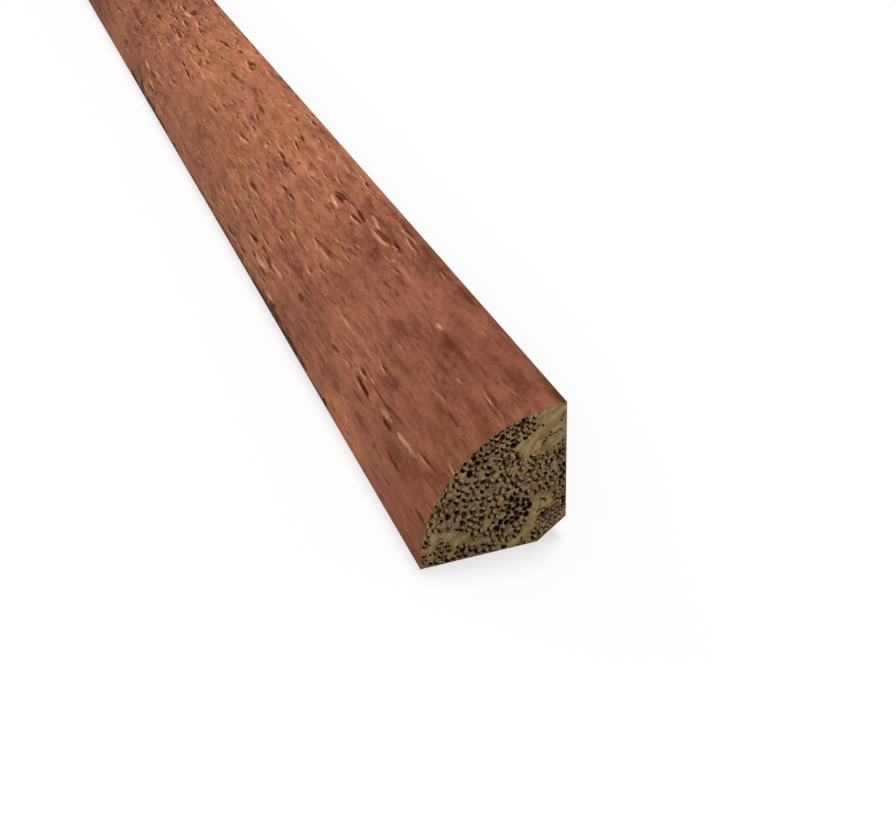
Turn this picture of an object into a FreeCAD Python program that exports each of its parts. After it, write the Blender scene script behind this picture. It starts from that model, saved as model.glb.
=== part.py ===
"""One stick of prefinished bamboo quarter round moulding, milled from a single strand-woven blank.

The stick lies as it is fitted: its floor leg on the ground (z = 0) and its wall leg upright, facing +X.
Its length runs along Y. The origin is at the middle of the length, halfway across, on the floor.
"""

import FreeCAD
import Part
import os

import Sketcher

# Driving dimensions in millimetres: alias, value, what it is.
SIZES = [
    ("face_radius", 19.05, "radius of the rounded face, so also the reach of both legs (3/4 in)"),
    ("relief_on_floor", 3.8, "how much of the floor leg the heel relief takes"),
    ("relief_up_wall", 2.85, "how much of the wall leg the heel relief takes"),
    ("stock_length", 1828.8, "length that the stick is sold in (72 in)"),
]


def make_sizes(doc):
    """The sheet that every sketch and feature reads."""
    sheet = doc.addObject("Spreadsheet::Sheet", "sizes")
    for row, (alias, value, meaning) in enumerate(SIZES, start=1):
        sheet.set(f"A{row}", meaning)
        sheet.set(f"B{row}", str(value))
        sheet.setAlias(f"B{row}", alias)
    doc.recompute()
    return sheet


def origin_plane(body, role):
    """The body's own origin plane with that role."""
    return next(f for f in body.Origin.OriginFeatures if f.Role == role)


def draw_section(body, sizes):
    """The moulding's section, seen along its length: x across the floor, y up the wall.

    A quarter circle runs from the crest, at the top of the wall leg, to the toe, at the end of the
    floor leg. Its centre is the heel, where the two legs would meet, and a flat relief cuts the heel
    away, so that the stick seats over the rounded joint of a floor and a wall.
    """
    radius, on_floor, up_wall = sizes.face_radius, sizes.relief_on_floor, sizes.relief_up_wall
    heel = FreeCAD.Vector(radius / 2, 0, 0)
    toe = heel + FreeCAD.Vector(-radius, 0, 0)
    crest = heel + FreeCAD.Vector(0, radius, 0)
    relief_foot = heel + FreeCAD.Vector(-on_floor, 0, 0)
    relief_top = heel + FreeCAD.Vector(0, up_wall, 0)

    sketch = body.newObject("Sketcher::SketchObject", "section")
    sketch.AttachmentSupport = [(origin_plane(body, "XZ_Plane"), "")]
    sketch.MapMode = "FlatFace"

    face = sketch.addGeometry(Part.Arc(crest, heel + (crest + toe - heel * 2).normalize() * radius, toe))
    floor_leg = sketch.addGeometry(Part.LineSegment(toe, relief_foot))
    relief = sketch.addGeometry(Part.LineSegment(relief_foot, relief_top))
    wall_leg = sketch.addGeometry(Part.LineSegment(relief_top, crest))

    # Sketcher's own numbers: a piece's start, end and centre, and the x axis and origin of the sketch.
    start, end, centre = 1, 2, 3
    x_axis, origin = -1, (-1, 1)

    def limit(kind, *where):
        return sketch.addConstraint(Sketcher.Constraint(kind, *where))

    def bind(kind, name, value, *where):
        index = limit(kind, *where, value)
        sketch.renameConstraint(index, name)
        return f"Constraints.{name}"

    limit("Coincident", face, end, floor_leg, start)
    limit("Coincident", floor_leg, end, relief, start)
    limit("Coincident", relief, end, wall_leg, start)
    limit("Coincident", wall_leg, end, face, start)
    limit("PointOnObject", face, centre, x_axis)
    limit("PointOnObject", floor_leg, start, x_axis)
    limit("PointOnObject", floor_leg, end, x_axis)
    limit("Vertical", wall_leg)
    limit("Vertical", face, centre, face, start)

    heel_place = bind("DistanceX", "heel_place", heel.x, *origin, face, centre)
    face_size = bind("Radius", "face_size", radius, face)
    foot_place = bind("DistanceX", "relief_foot_place", on_floor, relief, start, face, centre)
    top_place = bind("DistanceY", "relief_top_place", up_wall, face, centre, relief, end)
    sketch.setExpression(heel_place, "sizes.face_radius / 2")
    sketch.setExpression(face_size, "sizes.face_radius")
    sketch.setExpression(foot_place, "sizes.relief_on_floor")
    sketch.setExpression(top_place, "sizes.relief_up_wall")
    return sketch


def make_moulding(doc, sizes):
    """The stick: one body, its section run to the full length, half to each side of the origin."""
    body = doc.addObject("PartDesign::Body", "quarter_round")
    body.Label = "quarter_round"
    section = draw_section(body, sizes)
    run = body.newObject("PartDesign::Pad", "run")
    run.Profile = section
    run.SideType = "Symmetric"
    run.setExpression("Length", "sizes.stock_length")
    return body


def check(doc, pieces):
    """Stops the script if anything in the document failed or a piece isn't one sound solid."""
    for item in doc.Objects:
        if {"Invalid", "Error"} & set(item.State):
            raise RuntimeError(f"{item.Label} is {item.State}")
    for piece in pieces:
        shape = piece.Shape
        if shape.isNull() or not shape.isValid() or len(shape.Solids) != 1:
            raise RuntimeError(f"{piece.Label} isn't one valid solid")


def main():
    doc = FreeCAD.newDocument("quarter_round_moulding")
    sizes = make_sizes(doc)
    pieces = [make_moulding(doc, sizes)]
    doc.recompute()
    check(doc, pieces)
    os.makedirs("parts", exist_ok=True)
    for piece in pieces:
        piece.Shape.exportStep(f"parts/{piece.Label}.step")
        box = piece.Shape.BoundBox
        print(f"{piece.Label}: {box.XLength:.2f} x {box.YLength:.2f} x {box.ZLength:.2f} mm,"
              f" {piece.Shape.Volume / 1000:.1f} cubic cm")


main()
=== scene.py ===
"""Looks for one stick of stained strand-woven bamboo quarter round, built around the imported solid.

The stick is one closed mesh. Lengths in the tables are millimetres: along is measured from the near end,
and down is measured round the curved face, from the crest (0) to the toe. In the tables of the end grain,
x is measured from the toe and z is measured up from the floor.
"""
import math

import bpy
import numpy as np
from mathutils import Matrix, Vector
from mathutils.geometry import delaunay_2d_cdt


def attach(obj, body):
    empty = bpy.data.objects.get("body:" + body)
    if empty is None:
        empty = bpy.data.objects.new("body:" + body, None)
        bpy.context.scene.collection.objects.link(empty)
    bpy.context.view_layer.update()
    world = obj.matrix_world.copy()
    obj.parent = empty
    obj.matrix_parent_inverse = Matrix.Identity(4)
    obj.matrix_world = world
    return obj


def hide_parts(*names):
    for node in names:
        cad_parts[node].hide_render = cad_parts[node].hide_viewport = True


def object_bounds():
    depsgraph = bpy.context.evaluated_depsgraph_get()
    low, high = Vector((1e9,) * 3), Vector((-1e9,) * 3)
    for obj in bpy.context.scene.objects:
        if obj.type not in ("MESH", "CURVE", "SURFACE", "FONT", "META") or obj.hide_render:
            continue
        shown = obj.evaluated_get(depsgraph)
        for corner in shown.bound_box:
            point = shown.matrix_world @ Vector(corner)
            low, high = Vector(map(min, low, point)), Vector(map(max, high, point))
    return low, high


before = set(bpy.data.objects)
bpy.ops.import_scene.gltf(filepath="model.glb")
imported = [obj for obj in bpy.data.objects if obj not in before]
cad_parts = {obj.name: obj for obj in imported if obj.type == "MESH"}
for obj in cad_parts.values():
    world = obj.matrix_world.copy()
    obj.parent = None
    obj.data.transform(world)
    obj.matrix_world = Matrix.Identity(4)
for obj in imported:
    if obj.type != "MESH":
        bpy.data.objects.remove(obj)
cad_low, cad_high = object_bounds()

MM = 0.001

# The section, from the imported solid's box and the part's own relief sizes.
RADIUS = (cad_high.z - cad_low.z) / MM
LENGTH = (cad_high.y - cad_low.y) / MM
RELIEF_ON_FLOOR = 3.8
RELIEF_UP_WALL = 2.85
ARC = RADIUS * math.pi / 2

# How finely the mesh is cut: rows along the close and the plain stretch, segments round face and backs.
CLOSE_LENGTH = 312.0
CLOSE_STEPS = (0.8, 1.6)
PIT_STRETCH = (69.0, 78.5, 0.36)
JOIN_STEPS = (1.8, 2.4)
PLAIN_STEP = 3.2
CLOSE_SEGMENTS = 160
BACK_SEGMENTS = (3, 1, 3)

# The pattern of the face runs back on itself here, so a mark this side has a twin beyond.
FOLD = 134.2

# Slits in the curved face: along and down at one tip and at the other, width, darkness (pooled stain and
# painted shade in the slit), light lip (on the toe side, partly stain gone thin from wear and partly a painted
# highlight).
SLITS = [
    (0.0, 0.3, 3.9, 0.2, 1.0, 0.75, 0.0),
    (27.5, 0.7, 34.5, 0.8, 0.45, 0.7, 0.0),
    (32.0, 1.9, 35.0, 1.8, 0.35, 0.35, 0.2),
    (15.2, 3.9, 18.6, 4.7, 0.35, 0.45, 0.1),
    (8.3, 4.6, 9.6, 4.6, 0.4, 0.4, 0.0),
    (20.0, 7.4, 24.9, 6.9, 0.9, 0.45, 0.0),
    (5.2, 12.5, 10.2, 12.4, 0.42, 0.7, 0.1),
    (13.9, 12.6, 15.8, 12.6, 0.35, 0.45, 0.1),
    (27.6, 10.8, 32.0, 10.7, 0.3, 0.35, 0.1),
    (25.6, 12.2, 31.0, 12.4, 0.3, 0.4, 0.5),
    (49.2, 4.1, 53.5, 4.3, 0.42, 0.85, 0.75),
    (45.0, 3.7, 48.2, 3.0, 0.3, 0.5, 0.3),
    (38.6, 8.5, 40.2, 8.4, 0.5, 0.6, 0.0),
    (41.5, 8.7, 45.1, 8.8, 0.35, 0.65, 0.2),
    (37.0, 10.3, 42.8, 10.8, 0.33, 0.55, 0.45),
    (51.0, 7.1, 54.6, 7.2, 0.3, 0.4, 0.5),
    (57.6, 6.4, 61.0, 6.5, 0.35, 0.5, 0.2),
    (58.0, 8.7, 61.5, 8.8, 0.35, 0.5, 0.1),
    (54.8, 9.8, 58.6, 10.0, 0.35, 0.6, 0.1),
    (45.3, 15.3, 50.6, 15.2, 0.3, 0.55, 0.45),
    (44.2, 16.5, 47.0, 16.5, 0.35, 0.4, 0.0),
    (54.3, 13.8, 55.8, 13.7, 0.5, 0.3, 0.0),
    (56.4, 15.7, 59.8, 15.8, 0.25, 0.2, 0.6),
    (50.2, 17.6, 53.6, 17.7, 0.25, 0.25, 0.5),
    (51.8, 19.1, 54.4, 19.2, 0.35, 0.4, 0.0),
    (17.2, 20.2, 23.2, 20.5, 0.38, 1.0, 0.0),
    (19.2, 18.8, 24.8, 18.8, 0.26, 0.6, 0.1),
    (26.6, 18.3, 29.6, 18.2, 0.25, 0.5, 0.5),
    (27.2, 20.3, 33.6, 20.0, 0.4, 1.0, 0.0),
    (34.8, 20.4, 36.8, 20.1, 0.5, 0.55, 0.1),
    (40.8, 20.5, 43.8, 20.8, 0.4, 0.65, 0.3),
    (10.0, 22.9, 16.2, 22.7, 0.44, 0.72, 0.1),
    (24.3, 24.2, 29.6, 24.2, 0.33, 0.5, 0.1),
    (44.4, 24.1, 49.2, 24.0, 0.5, 0.7, 0.1),
    (0.0, 23.9, 5.4, 23.6, 0.33, 0.6, 0.1),
    (16.8, 24.4, 21.4, 24.4, 0.28, 0.45, 0.3),
    (17.2, 26.2, 20.0, 26.1, 0.28, 0.4, 0.1),
    (54.2, 23.3, 58.0, 23.2, 0.4, 0.45, 0.5),
    (54.6, 26.2, 57.6, 26.4, 0.4, 0.4, 0.3),
    (62.9, 5.5, 68.0, 5.4, 0.42, 1.0, 0.3),
    (63.9, 7.5, 65.8, 7.5, 0.4, 0.9, 0.0),
    (69.2, 2.8, 71.0, 2.8, 0.5, 0.45, 0.5),
    (71.4, 6.5, 77.4, 6.2, 0.4, 1.0, 0.0),
    (72.4, 5.6, 77.6, 5.5, 1.0, 0.85, 0.0),
    (72.4, 5.3, 73.6, 5.4, 0.4, 0.6, 0.0),
    (70.3, 6.5, 71.5, 8.4, 0.6, 1.0, 0.0),
    (71.3, 8.5, 75.6, 8.1, 0.26, 0.75, 0.0),
    (70.6, 8.8, 75.6, 8.8, 0.3, 0.5, 0.0),
    (84.9, 12.5, 90.6, 12.5, 0.33, 0.7, 0.25),
    (84.6, 10.6, 87.6, 10.5, 0.3, 0.55, 0.0),
    (80.6, 5.2, 82.4, 5.2, 0.5, 0.5, 0.2),
    (83.0, 5.2, 84.4, 5.2, 0.4, 0.45, 0.1),
    (81.4, 4.0, 82.8, 3.9, 0.4, 0.45, 0.0),
    (88.4, 7.0, 91.4, 6.4, 0.5, 0.85, 0.2),
    (90.0, 5.3, 91.4, 5.2, 0.4, 0.5, 0.2),
    (99.8, 5.0, 105.4, 4.4, 0.5, 0.95, 0.1),
    (105.4, 4.4, 108.8, 4.1, 0.4, 0.7, 0.0),
    (110.4, 3.3, 113.0, 3.0, 0.5, 0.85, 0.1),
    (94.2, 9.9, 101.8, 9.8, 0.55, 0.95, 0.35),
    (106.4, 10.1, 109.6, 10.3, 0.42, 0.65, 0.5),
    (94.0, 14.3, 101.0, 14.3, 0.26, 0.55, 0.45),
    (96.8, 16.5, 101.8, 16.4, 0.3, 0.35, 0.1),
    (98.2, 18.6, 100.2, 18.6, 0.45, 0.6, 0.0),
    (90.3, 15.0, 92.6, 15.0, 0.35, 0.3, 0.0),
    (111.0, 15.4, 113.4, 15.5, 0.35, 0.35, 0.0),
    (75.0, 18.1, 80.6, 18.0, 0.35, 0.35, 0.1),
    (59.6, 21.0, 62.4, 21.0, 0.6, 0.7, 0.2),
    (60.0, 22.9, 65.0, 23.1, 0.3, 0.4, 0.5),
    (78.0, 22.6, 82.0, 22.5, 0.5, 0.75, 0.0),
    (81.0, 22.2, 85.2, 22.2, 0.5, 0.75, 0.0),
    (86.4, 22.4, 89.8, 22.4, 0.42, 0.85, 0.1),
    (95.9, 22.5, 97.8, 22.5, 0.7, 0.5, 0.3),
    (92.8, 23.3, 94.9, 23.3, 0.5, 0.5, 0.0),
    (85.4, 25.4, 78.0, 25.0, 0.4, 0.75, 0.0),
    (114.8, 23.5, 119.6, 23.4, 0.35, 0.35, 0.1),
    (120.0, 7.6, 126.2, 7.2, 0.5, 0.75, 0.3),
    (126.0, 7.2, 130.2, 6.9, 0.45, 0.55, 0.2),
    (127.4, 11.3, 128.8, 11.4, 0.5, 0.5, 0.0),
    (123.4, 5.3, 126.6, 5.4, 0.3, 0.35, 0.6),
    (123.2, 23.3, 126.0, 23.4, 0.4, 0.45, 0.0),
    (131.6, 22.6, 136.4, 22.6, 0.35, 0.5, 0.6),
    (132.6, 10.9, 135.8, 10.9, 0.3, 0.4, 0.4),
    (132.9, 12.0, 135.5, 12.0, 0.3, 0.35, 0.4),
]

# Raised fibres where the stain has rubbed thin: along and down at each tip, width, strength.
FIBRES = [
    (8.4, 19.3, 12.4, 19.3, 0.4, 0.6),
    (9.6, 19.6, 13.4, 19.5, 0.5, 0.62),
    (12.8, 19.5, 15.9, 19.7, 0.5, 0.72),
    (17.4, 19.5, 22.8, 19.8, 0.5, 1.1),
    (28.6, 20.9, 32.8, 20.7, 0.3, 1.0),
    (19.4, 10.0, 20.8, 10.0, 0.5, 0.6),
    (25.4, 6.7, 28.2, 6.7, 0.5, 0.6),
    (20.4, 23.4, 21.6, 23.5, 0.5, 0.7),
    (47.4, 6.1, 48.8, 6.0, 0.4, 0.8),
    (32.0, 25.4, 34.6, 25.4, 0.35, 0.4),
    (12.6, 26.8, 17.2, 26.8, 0.35, 0.4),
    (51.6, 25.5, 52.8, 25.5, 0.5, 0.7),
    (54.6, 24.8, 58.4, 24.8, 0.35, 0.5),
    (60.0, 7.0, 67.0, 7.0, 0.5, 0.4),
    (70.8, 7.6, 77.6, 7.1, 0.6, 1.6),
    (72.6, 5.9, 73.7, 5.9, 0.34, 0.8),
    (72.6, 8.4, 76.0, 7.95, 0.5, 0.35),
    (77.3, 10.0, 86.9, 10.3, 0.42, 0.9),
    (67.0, 15.4, 70.2, 15.4, 0.28, 0.7),
    (63.6, 18.2, 64.6, 18.2, 0.4, 0.7),
    (72.1, 18.2, 73.1, 18.2, 0.4, 0.7),
    (94.8, 10.6, 97.4, 10.6, 0.5, 0.7),
    (101.4, 10.7, 102.8, 10.7, 0.45, 0.5),
    (104.2, 10.9, 105.4, 10.9, 0.4, 0.5),
    (106.6, 11.0, 109.2, 10.9, 0.5, 0.8),
    (110.8, 11.1, 112.2, 11.1, 0.4, 0.7),
    (113.2, 11.2, 114.4, 11.2, 0.4, 0.5),
    (113.4, 2.4, 117.4, 1.8, 1.1, 0.9),
    (117.8, 2.9, 120.6, 2.4, 1.0, 1.0),
    (90.2, 2.4, 95.4, 2.0, 0.5, 0.5),
    (71.0, 22.2, 78.2, 22.4, 0.44, 1.6),
    (77.6, 23.9, 82.6, 24.3, 0.52, 1.1),
    (80.0, 24.3, 85.8, 24.8, 0.4, 1.6),
    (72.4, 27.2, 78.4, 27.4, 0.5, 1.6),
    (64.0, 22.0, 69.0, 22.6, 0.6, 0.5),
    (82.0, 28.1, 86.0, 28.2, 0.4, 0.6),
    (105.8, 22.2, 109.6, 22.2, 0.4, 0.7),
    (116.0, 24.5, 117.4, 24.5, 0.5, 0.8),
    (128.0, 17.8, 130.6, 17.9, 0.4, 0.5),
    (124.4, 15.4, 125.6, 15.4, 0.5, 0.5),
    (132.4, 13.6, 136.0, 13.6, 0.4, 0.5),
]

# Soft shallow hollows: along, down, length, width, how dark (below 0 for a low swelling, lighter).
HOLLOWS = [
    (22.5, 7.4, 8.0, 3.2, 0.65),
    (13.5, 22.0, 8.0, 3.0, 0.5),
    (6.0, 3.0, 12.0, 3.0, 0.3),
    (80.5, 23.6, 12.0, 3.4, 0.5),
    (68.0, 25.6, 8.0, 4.2, 0.9),
    (134.2, 6.1, 5.0, 1.3, 1.0),
    (100.0, 20.0, 22.0, 6.0, 0.2),
    (30.0, 14.5, 26.0, 5.0, 0.15),
    (32.0, 11.0, 26.0, 7.0, 0.52),
    (99.0, 16.8, 32.0, 4.5, 0.12),
    (41.0, 22.8, 24.0, 4.5, -0.5),
    (94.0, 26.0, 14.0, 4.0, -0.35),
    (94.0, 3.0, 14.0, 4.0, -0.3),
]

# Dark olive stain left along the toe: from, to, how far up from the toe, strength.
TOE_STAINS = [
    (22.0, 29.0, 0.7, 0.6),
    (40.0, 50.0, 0.5, 0.8),
    (54.0, 64.0, 2.6, 0.9),
    (60.0, 88.0, 2.3, 1.0),
    (62.0, 74.0, 4.4, 0.62),
    (86.0, 112.0, 1.6, 0.8),
    (110.0, 121.0, 0.9, 0.8),
    (118.0, 134.2, 1.2, 0.75),
]

# How light the face is along the stick, up to the fold: along, lightness at the toe, at the crest. Besides the
# stain's own tone, the change from toe to crest is painted light and shade.
LIGHTNESS = [
    (0.0, -0.65, -0.6),
    (18.0, 0.35, -0.85),
    (36.0, 1.05, -0.68),
    (52.0, 0.23, -0.6),
    (67.0, 0.45, -0.03),
    (82.0, 0.75, 0.4),
    (97.0, 0.8, 0.67),
    (112.0, 0.75, 0.86),
    (134.2, 0.33, 0.42),
]

# How scarred the face is along the stick, up to the fold: along, 0 for smooth to 1 for rough.
SCARRED = [
    (0.0, 0.3),
    (22.0, 0.35),
    (40.0, 0.62),
    (58.0, 0.95),
    (134.2, 1.0),
]

# Where the end grain has plain tissue with no pores in it: from the toe and up at each end, half width.
PLAIN_TISSUE = [
    (14.1, 13.9, 19.2, 16.6, 1.25),
    (15.4, 13.3, 19.2, 14.6, 0.55),
    (16.4, 17.6, 19.2, 19.2, 0.9),
    (1.9, 4.4, 3.6, 3.9, 0.5),
    (3.6, 3.9, 7.0, 2.0, 0.55),
    (1.2, 1.2, 2.0, 3.8, 0.55),
    (3.8, 1.0, 4.6, 1.8, 0.4),
    (7.6, 2.2, 9.0, 2.0, 0.5),
    (13.9, 2.2, 15.6, 6.4, 0.6),
    (16.5, 6.2, 17.0, 5.2, 0.4),
    (11.4, 0.2, 13.6, 1.7, 0.5),
]

# Bamboo strands as the end grain shows them: middle from the toe and up, pore spacing, pore radius,
# how black, how light the heart of a bundle is, and the side of the bundle, in degrees, that the pore lies on.
STRANDS = [
    (8.3, 10.8, 0.95, 0.54, 0.92, 0.75, 235.0),
    (6.0, 12.8, 0.92, 0.52, 1.0, 0.45, 235.0),
    (11.8, 10.6, 0.98, 0.55, 0.88, 1.0, 190.0),
    (15.4, 9.6, 0.88, 0.5, 0.9, 0.8, 50.0),
    (18.3, 9.8, 0.7, 0.44, 1.0, 0.45, 30.0),
    (12.4, 4.9, 0.74, 0.5, 1.0, 0.05, 220.0),
    (10.7, 5.8, 0.95, 0.54, 0.92, 0.75, 215.0),
    (12.3, 8.0, 0.95, 0.54, 0.92, 0.9, 200.0),
    (13.0, 1.6, 0.84, 0.47, 0.9, 0.6, 200.0),
    (7.2, 5.2, 0.96, 0.54, 0.92, 0.75, 215.0),
    (4.9, 5.9, 1.2, 0.42, 0.8, 0.3, 230.0),
    (10.2, 2.4, 0.88, 0.5, 0.92, 0.65, 200.0),
    (3.2, 1.2, 0.76, 0.42, 0.88, 0.5, 240.0),
    (2.9, 7.0, 0.8, 0.45, 0.78, 0.65, 170.0),
    (16.6, 3.6, 0.68, 0.41, 0.96, 0.5, 100.0),
    (12.2, 16.2, 0.78, 0.44, 0.92, 0.6, 240.0),
    (17.6, 15.0, 0.6, 0.18, 0.6, 0.1, 200.0),
]

# Lines of small pores in the plain tissue: from the toe and up at each end, spacing.
PORE_LINES = [
    (15.9, 13.9, 16.7, 14.9, 0.26),
    (16.7, 14.9, 18.4, 15.5, 0.26),
    (17.0, 15.3, 17.6, 15.1, 0.3),
    (18.4, 16.8, 18.6, 17.6, 0.34),
]

# Short slits scattered by seed: seed, from, to, how many to a square centimetre, and the least and the most
# of the width, the length and the darkness.
SCATTERED_SLITS = [
    (21, 1, CLOSE_LENGTH, 13, (0.16, 0.34), (1.2, 4.6), (0.15, 0.5)),
    (22, 2 * FOLD, CLOSE_LENGTH, 4, (0.3, 0.6), (2.5, 7), (0.5, 0.95)),
    (23, CLOSE_LENGTH - 4, LENGTH - 9, 3, (0.5, 0.9), (6, 12), (0.15, 0.45)),
]
# The light lips of the scattered slits: painted highlights, partly stain gone thin from wear.
SCATTERED_LIPS = [0.0, 0.25, 0.5]
LIPS_GROW = (10, 80)  # between these places along, the scattered slits get their light lips

# Toe stains beyond the twins, by seed: gap before one, length, how far up from the toe, strength.
LATER_STAIN_SEED = 24
LATER_STAINS = ((10, 60), (12, 40), (0.7, 2.2), (0.4, 0.9))

# Beyond the twins, the lightness at the toe and at the crest and the scars drift by seed, step by step.
DRIFT_STEP = 62
DRIFT_STEPS = 40
TOE_DRIFT = (11, -0.35, 0.55)
CREST_DRIFT = (13, -0.6, 0.4)
SCAR_DRIFT = (12, 0.4, 1.0)

# Scraped waves of the whole face: seed, depth, extra depth where it is scarred, size along, size down.
SKIN_DEPTH = 0.085
WAVES = [
    (3, 0.032, 0.0, 19, 4.6),
    (4, 0.02, 0.034, 6.5, 1.3),
    (5, 0.01, 0.02, 3.2, 0.65),
]

# Soft patches of lighter and darker stain: seed, strength, size along, size down.
PATCHES = [
    (6, 0.16, 24, 6),
    (7, 0.14, 9, 2.4),
]

# A slit in cross-section, in widths: its dark bed, with pooled stain and painted shade, and its walls, each on
# the crest side and on the toe side.
SLIT_BED = (0.42, 0.95)
SLIT_WALLS = (0.55, 1.05)
SLIT_DEPTH = 0.42
LIP_PLACE = 0.95
LIP_BAND = 0.42
FIBRE_BAND = 0.62
FIBRE_HEIGHT = 0.08
FINEST_BAND = 0.19  # half width, in mm, of the thinnest light line that the grid still carries
HOLLOW_FALL = 0.42  # the share of a hollow's size at which it has mostly faded

# The camera of the photograph: focal length over image width, place, and turn, tilt and roll in degrees.
FOCAL_SHARE = 1451 / 896
CAMERA_PLACE = (-0.051389, -1.048914, 0.104977)
CAMERA_TURN, CAMERA_TILT, CAMERA_ROLL = 18.912, 30.551, -2.006
SENSOR_WIDTH = 36.0


def smooth_step(low, high, value):
    """0 below low, 1 above high and a soft rise between."""
    share = np.clip((value - low) / (high - low), 0, 1)
    return share * share * (3 - 2 * share)


def lattice_noise(seed, first, second, first_cell, second_cell):
    """Smooth seeded noise from -1 to 1 over two coordinates, with blobs of about one cell."""
    random = np.random.default_rng(seed)
    a = first / first_cell
    b = second / second_cell
    a = a - math.floor(a.min())
    b = b - math.floor(b.min())
    table = random.uniform(-1, 1, (int(a.max()) + 2, int(b.max()) + 2))
    row, column = a.astype(int), b.astype(int)
    across = smooth_step(0, 1, a - row)
    up = smooth_step(0, 1, b - column)
    near = table[row, column] * (1 - up) + table[row, column + 1] * up
    far = table[row + 1, column] * (1 - up) + table[row + 1, column + 1] * up
    return near * (1 - across) + far * across


def run_on(along, table, column, drift):
    """A value along the stick: the table's column up to the fold, its twin beyond, then the seeded drift."""
    seed, least, most = drift
    there_and_back = table + table[-2::-1]
    knots = [row[0] for row in table] + [2 * FOLD - row[0] for row in table[-2::-1]]
    values = [row[column] for row in there_and_back]
    for value in np.random.default_rng(seed).uniform(least, most, DRIFT_STEPS):
        knots.append(knots[-1] + DRIFT_STEP)
        values.append(value)
    return np.interp(along, knots, values)


def with_twins(marks, tips):
    """The marks and their twins beyond the fold. tips are the places in a mark that hold a distance along."""
    twins = []
    for mark in marks:
        twin = list(mark)
        for tip in tips:
            twin[tip] = 2 * FOLD - mark[tip]
        twins.append(tuple(twin))
    return list(marks) + twins


def scattered_slits(seed, start, stop, per_square_cm, widths, lengths, darks):
    """Short slits scattered over a stretch of the face."""
    random = np.random.default_rng(seed)
    made = []
    for _ in range(int((stop - start) * ARC / 100 * per_square_cm)):
        along = random.uniform(start, stop)
        down = random.uniform(0.6, ARC - 0.6)
        length = random.uniform(*lengths)
        slant = random.normal(0, 0.03) * length
        width = random.uniform(*widths)
        dark = random.uniform(*darks)
        lip = random.choice(SCATTERED_LIPS) * smooth_step(*LIPS_GROW, along)
        made.append((along, down, along + length, down + slant, width, dark, lip))
    return made


def later_stains():
    """Seeded toe stains, one after another, beyond the twins."""
    random = np.random.default_rng(LATER_STAIN_SEED)
    gaps, lengths, heights, strengths = LATER_STAINS
    made = []
    start = 2 * FOLD
    while start < LENGTH - lengths[1]:
        start += random.uniform(*gaps)
        length = random.uniform(*lengths)
        made.append((start, start + length, random.uniform(*heights), random.uniform(*strengths)))
        start += length
    return made


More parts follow.
